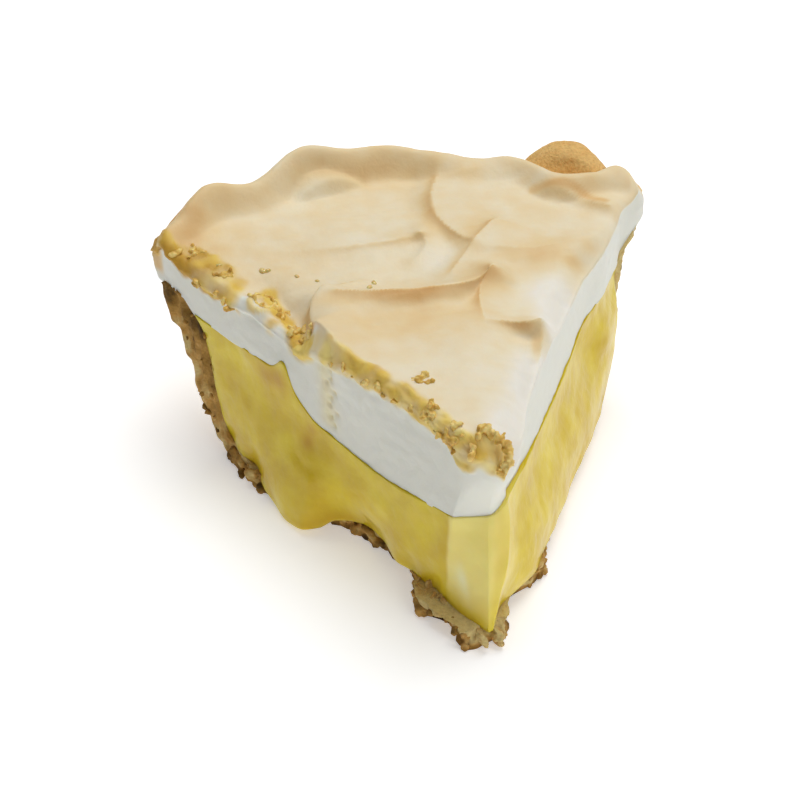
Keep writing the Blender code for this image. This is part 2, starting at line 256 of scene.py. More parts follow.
# %% Floor
FLOOR_HALF = 3
paper, tree, out = new_material("white_paper_sweep")
shader = add(tree, "ShaderNodeBsdfPrincipled",
             {"Base Color": colour("#f7f7f7"), "Roughness": 0.9, "Specular IOR Level": 0.1,
              "Emission Color": colour("#ffffff"), "Emission Strength": 0.36})
finish_material(tree, out, shader)
bm = bmesh.new()
bmesh.ops.create_grid(bm, x_segments=1, y_segments=1, size=FLOOR_HALF)
floor_mesh = bpy.data.meshes.new("floor")
bm.to_mesh(floor_mesh)
bm.free()
floor = bpy.data.objects.new("floor", floor_mesh)
floor_mesh.materials.append(paper)
bpy.context.scene.collection.objects.link(floor)
print("floor:", 2 * FLOOR_HALF, "m square")

# %% Light
room = bpy.data.worlds.new("room")
room.use_nodes = True
walls = room.node_tree.nodes["Background"].inputs
walls["Color"].default_value = colour("#fdfdff")
walls["Strength"].default_value = 0.20
bpy.context.scene.world = room


def soft_light(name, azimuth, elevation, distance, width, watts):
    """A square area light that faces the slice; azimuth 0 is behind the slice, 90 is on its right."""
    a, e = math.radians(azimuth), math.radians(elevation)
    towards = Vector((math.sin(a) * math.cos(e), math.cos(a) * math.cos(e), math.sin(e)))
    light = bpy.data.objects.new(name, bpy.data.lights.new(name, "AREA"))
    light.data.size, light.data.energy = width, watts
    light.location = towards * distance
    light.rotation_euler = towards.to_track_quat("Z", "Y").to_euler()
    bpy.context.scene.collection.objects.link(light)


soft_light("softbox", 30, 70, 1.2, 0.9, 10.4)
soft_light("window", 152, 32, 1.2, 0.7, 2.6)
print("a softbox, a window and a pale room")

# %% [markdown]
# ## Crust: the form
# Pie pastry is rolled out, pressed into the dish and pinched into flutes round the rim. Each point of
# its section goes round the pie; the flutes push the rim up and out in turn. A knife doesn't cut
# baked pastry, it breaks it, so the cut edges are ragged and the tip has lost a piece.

# %% Section of the crust


def smooth_line(corners, share):
    """A curve through the corners, as (radius, height), at a share of the way along."""
    corners = np.array([corners[0], *corners, corners[-1]], float)
    place = np.clip(share, 0, 1) * (len(corners) - 3)
    at = np.minimum(place.astype(int), len(corners) - 4)
    t = (place - at)[:, None]
    a, b, c, d = (corners[at + i] for i in range(4))
    return 0.5 * (2 * b + (c - a) * t + (2 * a - 5 * b + 4 * c - d) * t**2
                  + (3 * b - a - 3 * c + d) * t**3)


def flute_wave(angle):
    """0 between two flutes and 1 on a flute; the last one was flattened at the left cut."""
    wave = (0.5 + 0.5 * np.cos(FLUTES_ROUND_PIE * (angle - FLUTE_PHASE))) ** 0.32
    return wave * step(np.degrees(angle), -31, -25)


def flute_rise(angle):
    """How far the rim's flute at an angle stands up; the slice holds four, each with its own height."""
    place = (angle - FLUTE_PHASE) * FLUTES_ROUND_PIE / math.tau + 2
    return FLUTE_RISES[np.clip(np.round(place), 0, 3).astype(int)] * flute_wave(angle)


def wall_squeeze(up, height, angle):
    """The wall is pressed thin at the right cut, from outside and from inside."""
    place = step(angle, 0, HALF_ANGLE) * bell(height, 26, 15)
    return mix(-WALL_DENT, WALL_THINNED, up) * place


def crust_section(share, up, angle):
    """Radius and height of the crust at a share of its section, up from its outside to its inside."""
    line = smooth_line(CRUST_OUTSIDE, share) * (1 - up)[:, None]
    line += smooth_line(CRUST_INSIDE, share) * up[:, None]
    radius, height = line.T
    last = len(CRUST_OUTSIDE) - 1
    fluted = step(share * last, FLUTED_FROM + up, last)
    flare = RIM_FLARE * step(np.degrees(angle), 26, 31)
    radius = radius + np.maximum(FLUTE_REACH * flute_wave(angle), flare) * fluted
    radius += wall_squeeze(up, height, angle) - RIM_WORN * fluted * (1 - step(np.degrees(angle), -31, -25))
    height = height + flute_rise(angle) * fluted
    height += RIM_CROWN * (1 - np.abs(2 * up - 1) ** 2.5) * (share > 1 - TINY)
    return radius, height


def crust_left_edge(r):
    """How far the crust stands out of the left cut: it juts by the tip and is missing behind it."""
    jut = 5.4 * step(r, -2, 6) * (1 - step(r, 20, 29))
    missing = 4.0 * step(r, 27, 36) * (1 - step(r, 52, 64))
    return jut - missing + 2.2 * bell(r, 77, 12)


def crust_right_edge(r):
    """How far the crust stands out of the right cut, with one bit that juts."""
    return 0.3 - 1.8 * step(r, 34, 50) - 2.4 * (1 - step(r, 17, 25)) + 2.8 * bell(r, 27, 4)


rim_radius, rim_height = crust_section(np.ones(1), np.zeros(1), np.array([FLUTE_PHASE]))
print("a flute of the rim, out and up in mm:", np.round(rim_radius), np.round(rim_height))

# %% Crust block
CRUST_TIP = 3.5
mesh = cut_block((150, 130, 14))
across, along, up = read(mesh).T
angle = mix(-HALF_ANGLE, HALF_ANGLE, across)
radius, height = crust_section(along, up, angle)
radius = np.maximum(radius, nose(angle, CRUST_TIP) + 1.5 * up)
points = on_pie(radius, angle, height)
print("crust block:", len(mesh.vertices), "corner points")

# %% Ragged edges of the crust
below_rim = 1 - step(radius, 93, 104)
left, right = crust_left_edge(radius) * below_rim, crust_right_edge(radius) * below_rim
right -= 2.2 * step(radius, 93, 96) * (1 - step(height, 35, 41))
right += 0.9 * step(radius, 100, 106) - 2.8 * step(radius, 110, 115)
# Broken edges: flakes 2 to 5 mm long in thin sheets, so the noise is squeezed across the sheets.
sheets = np.stack((radius, up * 5.5, across * 0), axis=1)
flaky = 1.1 * lumps(sheets, 2.6, 3) + 0.7 * lumps(sheets, 1.1, 4) + 0.8 * lumps(points, 6, 5)
# Bits fell out of the lower half of the broken edge and left caves.
caves = np.clip(lumps(sheets, 5.5, 9) - 0.05, 0, 1) * (1 - step(up, 0.45, 0.8)) * below_rim
caves += 0.9 * bell(radius, 13, 3.2) * (1 - step(up, 0.5, 0.8))
right *= step(radius - nose(angle, CRUST_TIP), 0, 9)
points = move_cut_faces(points, across, left + flaky - 4.0 * caves, right + flaky - 2.0 * caves)
write(mesh, points)
normals = read(mesh, "normal")
rough = 0.35 * lumps(points, 7, 6) + 0.22 * lumps(points, 2.2, 7, 2)
points += normals * rough[:, None] * step(points[:, 2], 0, 1.5)[:, None]
points[:, 2] = np.maximum(points[:, 2], 0)
write(mesh, points)
print("crust:", len(mesh.polygons), "faces,", np.round(points.min(0)), "to", np.round(points.max(0)))

# %% Browning and painted shade of the crust
z = points[:, 2]
edge_face = np.maximum(1 - step(across, 0, 0.004), 1 - step(1 - across, 0, 0.004))
# The pastry browned in patches, most strongly by the tip, and along its foot on the hot dish.
patchy = mix(0.3, 0.55, 1 - step(radius, 20, 34))
bake_and_shade = 0.36 + patchy * lumps(points, 6, 8, 2)
bake_and_shade += 0.45 * (1 - step(z, 0, 2.5))
# The tip, the wall at the right cut and the top of the wall stayed pale, and the caves get painted shade.
bake_and_shade -= 0.46 * (1 - step(radius, 10, 30)) + 0.3 * step(across, 0.9, 1) * step(radius, 88, 94)
bake_and_shade += 0.6 * caves * edge_face - 0.15 * step(z, 34, 42)
# Inside the cut wall the pastry stayed dark and damp where it touched the filling.
damp = step(up, 0.6, 1.0) * edge_face * step(z, 8, 14) * (1 - step(z, 34, 40))
bake_and_shade += 0.30 * damp * step(lumps(points, 8, 10), -0.3, 0.4)
# The left cut edge, on the side away from the light, gets painted shade.
bake_and_shade += 0.35 * edge_face * (across < 0.5) * step(z, 31, 38)
bake_and_shade += 0.06 * edge_face * (across < 0.5) * step(z, 10, 18)
# The flutes took a golden glaze. One of them stands out of the meringue.
paint(mesh, "rim", step(z, 43, 50))
paint(mesh, "bake_and_shade", np.clip(bake_and_shade, 0, 1))
write(mesh, (points + PIE_CENTRE) * MM)
print("bake from", round(float(bake_and_shade.min()), 2), "to", round(float(bake_and_shade.max()), 2))

# %% Keep the crust's edges
# The crumbs of pastry below are laid on these points.
crust_mesh = mesh
cut_left, cut_right = across < TINY, across > 1 - TINY
crust_left, crust_left_keys = points[cut_left], (radius[cut_left], z[cut_left])
crust_right, crust_right_keys = points[cut_right], (radius[cut_right], z[cut_right])
print("points on the crust's broken edges:", len(crust_left) + len(crust_right))

# %% [markdown]
# ## Crust: baked pastry
# Shortcrust browns unevenly: straw where it stayed moist, hazel where it dried, nearly black where it
# touched the dish. It is matt and dry, with patches of 4 mm and grains of a millimetre or less.

# %% Baked pastry
PASTRY_PATCH, PASTRY_GRAIN = 3.85, 0.77
pastry, tree, out = new_material("baked_pastry")
place = add(tree, "ShaderNodeTexCoord").outputs["Object"]
# Browning, with the painted shade of the caves and the left cut.
bake_and_shade = add(tree, "ShaderNodeAttribute", attribute_name="bake_and_shade").outputs["Fac"]
patches = add(tree, "ShaderNodeTexNoise",
              {"Vector": place, "Scale": noise_scale(PASTRY_PATCH), "Detail": 6}).outputs["Fac"]
grains = add(tree, "ShaderNodeTexNoise",
             {"Vector": place, "Scale": noise_scale(PASTRY_GRAIN), "Detail": 3}).outputs["Fac"]
uneven = add(tree, "ShaderNodeMath", {0: patches, 1: 0.9, 2: -0.45}, operation="MULTIPLY_ADD")
browned_and_shaded = add(tree, "ShaderNodeMath", {0: bake_and_shade, 1: uneven.outputs[0]}, operation="ADD")
hue = add(tree, "ShaderNodeValToRGB", {"Fac": browned_and_shaded.outputs[0]},
          stops=[(0.1, colour("#dfc887")), (0.42, colour("#c4974e")), (0.7, colour("#906c2b")),
                 (0.95, colour("#4a3412"))])
rim = add(tree, "ShaderNodeAttribute", attribute_name="rim").outputs["Fac"]
glaze = add(tree, "ShaderNodeMath", {0: rim, 1: 0.75}, operation="MULTIPLY")
hue = add(tree, "ShaderNodeMix", {0: glaze.outputs[0], 6: hue.outputs[0], 7: colour("#efbe74")},
          data_type="RGBA")
speckle = add(tree, "ShaderNodeValToRGB", {"Fac": grains},
              stops=[(0.3, colour("#c9c0b2")), (0.62, colour("#ffffff"))])
tinted = add(tree, "ShaderNodeMix", {0: 0.4, 6: hue.outputs[2], 7: speckle.outputs[0]},
             data_type="RGBA", blend_type="MULTIPLY")
relief = add(tree, "ShaderNodeMath", {0: grains, 1: patches}, operation="ADD")
bump = add(tree, "ShaderNodeBump", {"Strength": 0.7, "Distance": 0.0006, "Height": relief.outputs[0]})
shader = add(tree, "ShaderNodeBsdfPrincipled",
             {"Base Color": tinted.outputs[2], "Roughness": 0.78, "IOR": 1.45,
              "Specular IOR Level": 0.3, "Normal": bump.outputs[0], "Subsurface Weight": 0.06,
              "Subsurface Scale": 0.002})
finish_material(tree, out, shader)
print("pastry: patches of", PASTRY_PATCH, "mm, grains of", PASTRY_GRAIN, "mm")

# %% Show a piece


def show(name, mesh, material, slot, *nodes):
    """Adds a finished mesh as a piece of the slice, in place of the CAD nodes named."""
    mesh.name = name
    mesh.shade_smooth()
    mesh.materials.append(material)
    piece = bpy.data.objects.new(name, mesh)
    bpy.context.scene.collection.objects.link(piece)
    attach(piece, "root")
    if nodes:
        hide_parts(*nodes)
    triangles = sum(len(p.vertices) - 2 for p in mesh.polygons)
    print(name, "has", triangles, "triangles")


show("baked_crust", crust_mesh, pastry, "baked_pastry", "crust")

# %% [markdown]
# ## Filling: the form
# Lemon filling is a starch gel, poured in hot. It sets flat, then sinks and bulges where it is cut:
# low on the left it has slumped over the broken crust. Where it met the meringue it left one pocket.
# It wept a little, and the syrup soaked in again in round spots.

# %% Filling surfaces
FRONT_BELOW, FRONT_ABOVE = 1.5, 10.9
INNER_WALL = np.array(CRUST_INSIDE[5:], float)


def inner_wall(height, angle):
    """Radius of the crust's inner wall at a height."""
    return np.interp(height, INNER_WALL[:, 1], INNER_WALL[:, 0]) + wall_squeeze(1, height, angle)


def filling_top(radius, across):
    """Height of the filling, which climbs from the tip to the rim and has one pocket on the left."""
    at_rim = mix(38.5, 36.5, across)
    share = step(across, 0, 0.5)
    climb = np.clip((radius - mix(59, 55, share)) / mix(16, 38, share), 0, 1)
    dip = 3 * bell(radius, 38, 18) * (1 - step(across, 0, 0.6))
    pocket = 4.5 * bell(radius, 71.5, 2.6) * (1 - step(across, 0, 0.16))
    return mix(31, at_rim, climb * climb * (3 - 2 * climb)) - dip + pocket


def filling_left(r, z):
    """How far the filling stands out of the left cut."""
    slump = 6 * step(r, 51, 60) * (1 - step(r, 63, 90)) * (1 - step(z, 6, 26))
    hollow = 3.5 * bell(r, 45, 9) * (1 - step(z, 4, 20))
    return slump - hollow + 0.8 * bell(z, 16, 10)


def filling_right(r, z):
    """How far the filling stands out of the right cut, which leans inwards as it goes up."""
    leaning = mix(1.5, -3.5, step(z, 4, 32) * step(r, 4, 18))
    tapered = 2.6 * (1 - step(r, 8, 24)) * (1 - step(z, 6, 30))
    at_wall = mix(0.8, -1.4, step(z, 22, 34)) * step(r, 80, 92)
    return (leaning - tapered + 0.8 * bell(z, 14, 8)) * (1 - step(r, 78, 92)) + at_wall


print("filling:", round(float(filling_top(20, 0.5))), "mm high by the tip and",
      round(float(filling_top(100, 0.5))), "mm by the rim")

# %% Filling block
mesh = cut_block((60, 170, 52))
across, along, up = read(mesh).T
angle = mix(-HALF_ANGLE, HALF_ANGLE, across)
edge_height = mix(5.2, 38, up)
tip = broken_tip(angle, mix(FRONT_BELOW, FRONT_ABOVE, up))
radius = mix(tip, inner_wall(edge_height, angle) + 0.3, along)
height = mix(4.8, filling_top(radius, across), up)
points = on_pie(radius, angle, height)
print("filling block:", len(mesh.vertices), "corner points")

# %% Sagged sides of the filling
left, right = filling_left(radius, height), filling_right(radius, height)
droops = 1.1 * lumps(np.stack((radius, height * 0.35, across * 30), axis=1), 6, 11)
droops *= 1 - step(height, 4, 16)
behind_tip = step(radius - tip, 0, 9)
left = (left + droops) * step(radius - tip, 0, 4)
right = (right + 0.5 * droops) * mix(behind_tip, 1, up)
points = move_cut_faces(points, across, left, right)
points[:, 0] -= mix(2.4, 0.8, up) * (1 - step(radius, 6, 24))
beyond = -points[:, 0] * math.cos(HALF_ANGLE) - points[:, 1] * math.sin(HALF_ANGLE)
points[:, 2] -= 3.9 * step(beyond, 1.2, 3.2) * (1 - step(height, 6, 16)) * bell(radius, 66, 12)
write(mesh, points)
normals = read(mesh, "normal")
swell = 0.55 * lumps(points, 11, 12) + 0.18 * lumps(points, 3.5, 13)
points += normals * swell[:, None] * step(height, 4.9, 7)[:, None]
write(mesh, points)
print("filling:", len(mesh.polygons), "faces")

# %% Soaked spots, and painted light on the tip
# Each spot has a radius and a height on the left cut, a width, and a strength.
SOAKED_SPOTS = ((73, 36, 3.4, 1.0), (78, 35, 3.2, 0.8), (62, 27.5, 1.8, 0.9), (62.8, 23.5, 2.3, 1.0),
                (57, 5, 3.5, 0.6), (84, 8, 3.5, 0.5))
spots = sum(strength * bell(np.hypot(radius - r, height - z), 0, wide)
            for r, z, wide, strength in SOAKED_SPOTS)
spots *= 0.85 * (1 - step(across, 0.0, 0.3))
spots += 0.8 * bell(np.hypot(radius - 9, height - 34), 0, 3.0) * step(across, 0.5, 0.9)
spots += 0.12 * step(across, 0.8, 1) * step(radius, 40, 60)
paint(mesh, "soaked", np.clip(spots + 0.12 * lumps(points, 7, 14, 2), 0, 1))
# The front face of the tip is painted paler: painted light where it faces the lamps, less of it
# low down and on the right.
from_tip = radius - tip
tip_painted_light = (1 - step(from_tip, 0.2, mix(1.6, 12, step(across, 0.25, 0.8)))) * step(height, 4, 13)
tip_painted_light *= 1 - 0.5 * step(across, 0.55, 0.9)
paint(mesh, "tip_painted_light", np.clip(tip_painted_light + 0.15 * lumps(points, 5, 15), 0, 1))
# A painted highlight on the left corner of the tip.
painted_highlight = (1 - step(from_tip, 0.2, 0.8)) * bell(across, 0.07, 0.04) * bell(height, 14, 3.5)
paint(mesh, "painted_highlight", np.clip(painted_highlight, 0, 1))
write(mesh, (points + PIE_CENTRE) * MM)
filling_mesh = mesh
print("soaked spots:", len(SOAKED_SPOTS))

# %% [markdown]
# ## Filling: lemon gel
# The gel is moist, smooth and slightly clear, so light goes in and comes out yellower. A clear
# principled surface with subsurface scattering does that, with a wet coat for the sharp highlights.

# %% Lemon gel
GEL_CLOUD, GEL_GRAIN = 9.1, 2.0
gel, tree, out = new_material("set_lemon_gel")
place = add(tree, "ShaderNodeTexCoord").outputs["Object"]
soaked = add(tree, "ShaderNodeAttribute", attribute_name="soaked").outputs["Fac"]
clouds = add(tree, "ShaderNodeTexNoise",
             {"Vector": place, "Scale": noise_scale(GEL_CLOUD), "Detail": 4}).outputs["Fac"]
gel_hue = add(tree, "ShaderNodeValToRGB", {"Fac": clouds},
              stops=[(0.3, colour("#d6b40e")), (0.7, colour("#ead12c"))])
gel_soaked = add(tree, "ShaderNodeMix", {0: soaked, 6: gel_hue.outputs[0], 7: colour("#c89600")},
                 data_type="RGBA")
# Painted light on the front face of the tip.
tip_painted_light = add(tree, "ShaderNodeAttribute", attribute_name="tip_painted_light").outputs["Fac"]
gel_tip_lit = add(tree, "ShaderNodeMix", {0: tip_painted_light, 6: gel_soaked.outputs[2], 7: colour("#ffea86")},
               data_type="RGBA")
# The painted highlight on the tip's left corner.
painted_highlight = add(tree, "ShaderNodeAttribute", attribute_name="painted_highlight").outputs["Fac"]
gel_highlighted = add(tree, "ShaderNodeMix", {0: painted_highlight, 6: gel_tip_lit.outputs[2], 7: colour("#fff4b8")},
               data_type="RGBA")
fine = add(tree, "ShaderNodeTexNoise",
           {"Vector": place, "Scale": noise_scale(GEL_GRAIN), "Detail": 3}).outputs["Fac"]
bump = add(tree, "ShaderNodeBump", {"Strength": 0.35, "Distance": 0.0005, "Height": fine})
shader = add(tree, "ShaderNodeBsdfPrincipled",
             {"Base Color": gel_highlighted.outputs[2], "Roughness": 0.3, "IOR": 1.4, "Specular IOR Level": 0.35,
              "Subsurface Weight": 0.35, "Subsurface Radius": (1.0, 0.75, 0.2),
              "Subsurface Scale": 0.004, "Coat Weight": 0.25, "Coat Roughness": 0.18,
              "Normal": bump.outputs[0]})
finish_material(tree, out, shader)
show("lemon_layer", filling_mesh, gel, "lemon_gel", "lemon_filling")

# %% [markdown]
# ## Meringue: the folds
# Meringue is spread with a spatula, which leaves lips, shelves and a hook where it lifted off. Each
# fold is a curved crest with its own height at both ends and its own width on both sides. The lips
# lean over their steep side.

# %% Folds of the meringue
# Start, bend and end on the plan, height at the start and the end, width on the right and the left.
FOLDS = {
    "crescent": ((-22, 67), (-1, 58), (15.5, 67.5), 2.2, 5.2, 7.5, 11),
    "scoop_side": ((15.5, 67.5), (10, 57), (10, 50), 4.0, 1.5, 8.0, 9),
    "terrace_back": ((12, 110), (4, 92), (15, 82), 2.0, 3.0, 7.0, 34),
    "terrace_front": ((21, 86), (14, 79), (7, 71), 3.0, 1.8, 7.0, 18),
    "middle_shelf": ((-36, 92), (-14, 86), (2.5, 88.5), 0.6, 2.2, 6.0, 14),
    "shelf_end": ((2.5, 88.5), (6, 84), (0, 80), 2.2, 0.8, 4.5, 6),
    "lobe_end": ((-17, 72), (-31, 70), (-28, 54), 2.0, 3.6, 4.0, 12),
    "lobe_side": ((-28, 54), (-25, 43), (-13, 22), 3.6, 1.2, 4.0, 12),
    "back_fold": ((32, 100.8), (42, 98.0), (50.5, 90), 0.4, 1.7, 3.5, 8),
    "right_ripple": ((20, 78), (32, 75), (43, 80), 1.2, 0.8, 8.0, 10),
    "hook_top": ((10, 50), (17, 49.5), (24, 45.5), 0.8, 4.6, 4.0, 7),
    "hook_side": ((24, 45.5), (22.5, 39), (18, 30), 4.6, 0.8, 4.5, 5),
}
print("folds:", len(FOLDS), "the highest of", max(max(fold[3:5]) for fold in FOLDS.values()), "mm")

# %% Measures of the meringue
PLAIN_TOP = 52
STREAK = ((-36.5, 77), (-35, 66), (-32, 53))
CREASE = ((33.5, 101), (42.5, 99.8), (50, 92))
GROOVE = ((-42, 84), (-34, 78), (-31, 58), 3.6, 4.0)
FRONT_LOBE = ((-11, 42), (26, 42), 4.0)
LOBE_BACK = (-3, 63, 0.0125)
SKIN_LOOP = (-38.5, 72.5, 3.0)
# Each lobe of the rim has an angle and a width in degrees, and how far it goes up and out.
RIM_LOBES = ((-31, 2.2, 1.8, -1.6), (-28, 2.5, 0.5, 1.2), (-22.3, 4.4, 4.8, 5.0),
             (-16, 4.5, 1.5, 1.8), (-9.5, 5, 5.6, 7.0),
             (0, 6.5, 4.3, 5.3), (15.5, 3, 1.2, 1.4), (22, 5, 2.4, -6.0),
             (29, 3, 1.0, 3.0), (33, 2.5, -1.5, -4.5))
MERINGUE_RADIUS = 119
RIM_RISE = 2.0
TIP_ROUNDING = 8.5
THINNEST = 2.5
print("lobes of the rim:", len(RIM_LOBES))

# %% Height of the folds


def nearest_on_crest(x, y, start, bend, end, samples=48):
    """Share along the crest, distance, side (1 right, -1 left) and the direction to the right."""
    t = np.linspace(0, 1, samples)[:, None]
    start, bend, end = (np.array(p, float) for p in (start, bend, end))
    crest = (1 - t) ** 2 * start + 2 * t * (1 - t) * bend + t**2 * end
    heading = (1 - t) * (bend - start) + t * (end - bend)
    heading /= np.linalg.norm(heading, axis=1)[:, None]
    away_x, away_y = x[:, None] - crest[:, 0], y[:, None] - crest[:, 1]
    distance = np.hypot(away_x, away_y)
    at = distance.argmin(axis=1)
    pick = np.arange(len(x)), at
    side = (heading[at, 1] * away_x[pick] - heading[at, 0] * away_y[pick]) / np.maximum(distance[pick], TINY)
    return t[at, 0], distance[pick], side, np.stack((heading[at, 1], -heading[at, 0]), axis=1)


def folds(x, y):
    """Height of the folds, how far they lean in x and y, and how much their steep side is in view, for its
    painted shade.
    """
    squares, lean, steep = np.zeros_like(x), np.zeros((len(x), 2)), np.zeros_like(x)
    for start, bend, end, low, high, right, left in FOLDS.values():
        t, distance, side, rightwards = nearest_on_crest(x, y, start, bend, end)
        width = mix(left, right, 0.5 + 0.5 * side)
        top = mix(low, high, t)
        height = top * np.clip(1 - distance / width, 0, 1) ** 1.5
        squares += height**2
        steeper = 1 if right < left else -1
        lean += (0.5 * steeper * height * np.clip(1 - distance / 6, 0, 1))[:, None] * rightwards
        front = np.clip(side * steeper, 0, 1) * np.clip(1 - distance / 9, 0, 1) * step(top, 0, 3)
        steep = np.maximum(steep, front)
    return np.sqrt(squares), lean, steep


# %% Groove, lobe and edge of the meringue


def groove_depth(x, y):
    """Depth of the groove, which the spatula left along the left side."""
    start, bend, end, depth, half_width = GROOVE
    t, distance, _, _ = nearest_on_crest(x, y, start, bend, end)
    return depth * step(t, -0.2, 0.7) * bell(distance, 0, half_width)


def front_lobe(x, y):
    """Rise of the wide lobe in front, which ends in a round step towards the rim."""
    centre, axes, rise = FRONT_LOBE
    away = np.hypot((x - centre[0]) / axes[0], (y - centre[1]) / axes[1])
    behind = y - LOBE_BACK[1] - LOBE_BACK[2] * (x - LOBE_BACK[0]) ** 2
    return rise * (1 - step(away, 0.45, 1.15)) * (1 - step(behind, -1, 5))


def meringue_edge(angle):
    """Radius of the meringue's wavy edge at an angle."""
    degrees = np.degrees(angle)
    reach = sum(far * bell(degrees, at, width) for at, width, _, far in RIM_LOBES)
    return MERINGUE_RADIUS + reach


def rim_under(radius, angle):
    """Height of the crust's rim under the meringue."""
    height = np.zeros_like(radius)
    last = len(CRUST_INSIDE) - 1
    ones = np.ones_like(radius)
    before = crust_section(ones * 9 / last, ones, angle)
    for row, up in ((10, 1), (11, 1), (12, 1), (12, 0.5), (12, 0)):
        after = crust_section(ones * row / last, ones * up, angle)
        share = np.clip((radius - before[0]) / np.maximum(after[0] - before[0], 0.1), 0, 1)
        height = np.where(radius >= before[0], mix(before[1], after[1], share), height)
        before = after
    return height


print("edge of the meringue in the middle:", round(float(meringue_edge(0)), 1), "mm from the axis")

# %% Meringue block
mesh = cut_block((150, 200, 44))
across, along, up = read(mesh).T
angle = mix(-HALF_ANGLE, HALF_ANGLE, across)
edge = meringue_edge(angle)
tip = mix(broken_tip(angle, FRONT_ABOVE + 0.5), nose(angle, TIP_ROUNDING), step(up, 0, 0.75))
radius = mix(tip, edge, along)
flat = on_pie(radius, angle, radius * 0)
x, y = flat[:, 0], flat[:, 1]
print("meringue block:", len(mesh.vertices), "corner points")

# %% Top of the meringue
fold, lean, steep = folds(x, y)
groove = groove_depth(x, y)
lobe = front_lobe(x, y)
degrees = np.degrees(angle)
top = PLAIN_TOP + fold + lobe - groove + 0.7 * lumps(flat, 22, 5.7) + 0.35 * lumps(flat, 8, 21)
# The spatula went from left to right and left faint furrows.
strokes = lumps(flat * (0.28, 1, 1), 2.6, 33, 2)
top += 0.22 * strokes
near_edge = step(radius, edge - 11, edge - 4)
rim_rise = RIM_RISE + sum(rise * bell(degrees, at, width) for at, width, rise, _ in RIM_LOBES)
top += rim_rise * near_edge
top -= 4.0 * step(radius, edge - 5, edge) ** 2
# The skin is rounded at the cuts: tight on the left, where the knife went in, wide on the right.
from_left = across * 2 * radius * HALF_ANGLE
from_right = (1 - across) * 2 * radius * HALF_ANGLE
from_tip = radius - tip
top -= 1.6 * (1 - step(from_left, 0, 2.5)) ** 2
soft_right = 1 - step(radius, 78, 100)
top -= mix(1.3, 4.0, soft_right) * (1 - step(from_right, 0, mix(2.2, 9, soft_right))) ** 2
top -= 3.5 * (1 - step(from_tip, 0, 6)) ** 2
# A loop of skin stands up by 1 mm beside the groove.
loop_x, loop_y, loop_radius = SKIN_LOOP
loop = bell(np.hypot(x - loop_x, y - loop_y) - loop_radius - 0.8 * lumps(flat, 5, 28), 0, 1.2)
top += loop
print("top of the meringue:", round(float(top.min())), "to", round(float(top.max())), "mm")

# %% Underside and cuts of the meringue
under = np.maximum(filling_top(radius, across) - 0.4, rim_under(radius, angle) - 0.4)
overhang = np.maximum(radius - 117 - np.maximum(FLUTE_REACH * flute_wave(angle), 0), 0)
under += 0.5 * overhang
# The meringue covers all flutes but the tall one on the right, which stands out of it.
top = np.where(degrees < 13, np.maximum(top, under + THINNEST), top)
under = np.minimum(under, top - THINNEST)
height = mix(under, top, up)
radius_out = radius + np.where(along > 1 - TINY, 1.5 * (1 - (2 * up - 1) ** 2), 0)
points = on_pie(radius_out, angle, height)
inside = step(np.minimum(from_left, from_right), 1, 7) * up**3
points[:, :2] += lean * inside[:, None]
left = (1.5 * bell(radius, 52, 12) - 0.8 * bell(radius, 72, 7)) * step(height, 34, 54)
left += 0.9 * step(up, 0.84, 0.95) + 0.6 * lumps(points, 4.5, 22) * step(up, 0.7, 0.9)
left -= 0.9 * step(radius, 110, 118)
right = -3.8 + 2.5 * step(radius, 76, 92) + 2.2 * step(radius, 104, 113)
right += 1.6 * step(radius, 104, 113) * (1 - step(up, 0.5, 1)) - 2.2 * step(radius, 112, 118)
right = mix(mix(-5.2, -1.0, step(up, 0, 1)), right, step(radius, 14, 34))
points = move_cut_faces(points, across, left * step(from_tip, 0, 8), right)
write(mesh, points)
print("meringue:", len(mesh.polygons), "faces")

# %% Foam of the cut faces
normals = read(mesh, "normal")
skin = step(up, 0.93, 0.99)
on_cut = np.maximum(1 - step(across, 0, 0.005), 1 - step(1 - across, 0, 0.005)) * (1 - skin)
foam = 0.30 * lumps(points, 9, 23) + 0.16 * lumps(points, 2.6, 24)
points += normals * (foam * mix(0.5, 1.0, on_cut))[:, None]
# A few bubbles opened when the knife went through: round pits in a line under the groove.
opened = np.zeros_like(radius)
for number, z in enumerate(np.linspace(33, 50, 9)):
    r = 54.5 + 1.2 * math.sin(2.3 * number)
    pit = bell(np.hypot(radius - r, height - z), 0, 0.85) * (1 - step(across, 0, 0.02))
    points -= normals * (0.8 * pit)[:, None]
    opened = np.maximum(opened, pit)
write(mesh, points)
print("deepest opened bubble:", round(0.8 * float(opened.max()), 2), "mm")

# %% Browning and painted shade of the meringue
# Each patch has a place on the plan, a width, and how much paler it is. Below zero it is darker.
TOAST_AND_SHADE_PATCHES = ((29, 60, 7, 0.33), (20, 32, 7, 0.28), (-14, 36, 9, 0.08), (3, 15, 5, 0.2), (5, 80, 7, 0.14),
                 (-45, 92, 10, -0.08), (44, 88, 7, 0.04), (6, 40, 8, 0.06), (35, 102, 3.0, 0.1),
                 (48, 92, 3.0, -0.06), (38, 71, 2.6, -0.2), (-46, 100, 8, -0.12), (27, 71, 7, -0.13),
                 (20.5, 41.5, 3.8, -0.2), (42, 76, 2.0, -0.12), (33, 73, 6, -0.1))
roll = step(radius, edge - 12, edge - 8)
foot = bell(radius, edge - 9, 3.0)
toast_and_shade = 0.30 + 0.07 * lumps(flat, 18, 25) + 0.05 * lumps(flat, 5, 26, 2)
# The foot of the rim's roll gets a painted line of shade.
foot *= 1 - step(degrees, 6, 14)
toast_and_shade += 0.06 * roll + 0.08 * foot * step(lumps(flat, 16, 29), -0.5, 0.5)
toast_and_shade += 0.14 * step(radius, edge - 3, edge) + 0.03 * strokes
